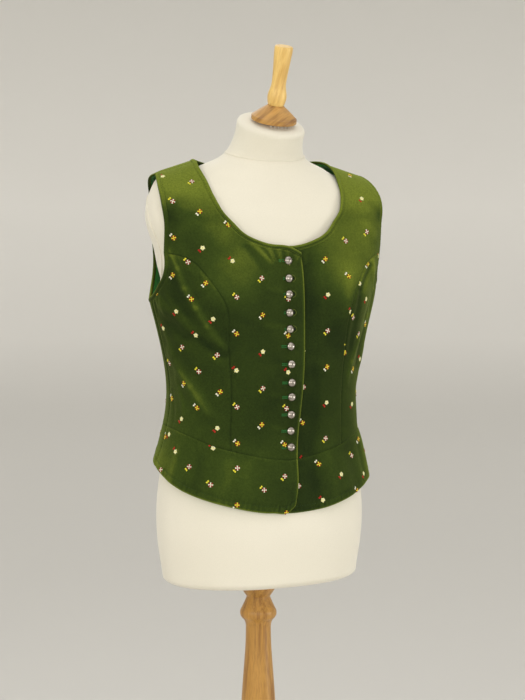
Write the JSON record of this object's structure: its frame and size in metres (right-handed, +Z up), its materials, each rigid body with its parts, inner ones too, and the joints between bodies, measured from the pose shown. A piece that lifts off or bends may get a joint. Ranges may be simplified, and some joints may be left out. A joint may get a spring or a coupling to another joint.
{
  "type": "embroidered folk vest on dress form",
  "caption": "Fitted sleeveless velvet waistcoat with a buttoned overlap and a flared peplum, worn on a limbless jersey dress form that stands on a turned wooden column.",
  "frame": {"origin": "centre of the round base's underside, on the floor", "axes": "+Z up; the front of the vest faces -Y; the wearer's left is +X"},
  "size_m": [0.41, 0.41, 1.6006],
  "materials": {
    "velvet": "dark green cotton velvet with small flowers",
    "lining": "plain bright green lining cloth",
    "silver": "domed white metal, worn bright",
    "jersey": "cream knitted cover, stretched smooth",
    "handle_wood": "pale turned wood, satin",
    "stand_wood": "honey brown turned wood, satin"
  },
  "bodies": {
    "root": {"front_centre_right": "velvet", "front_centre_left": "velvet", "front_side_right": "velvet", "front_side_left": "velvet", "back": "velvet", "peplum_front_right": "velvet", "peplum_front_left": "velvet", "peplum_back": "velvet", "binding_neck": "velvet", "binding_armhole_right": "velvet", "binding_armhole_left": "velvet", "lining_back": "lining", "button_01": "silver", "button_02": "silver", "button_03": "silver", "button_04": "silver", "button_05": "silver", "button_06": "silver", "button_07": "silver", "button_08": "silver", "button_09": "silver", "button_10": "silver", "button_11": "silver", "button_12": "silver", "torso": "jersey", "neck_cap": "handle_wood", "handle": "handle_wood", "column": "stand_wood", "base": "stand_wood"}
  },
  "joints": []
}
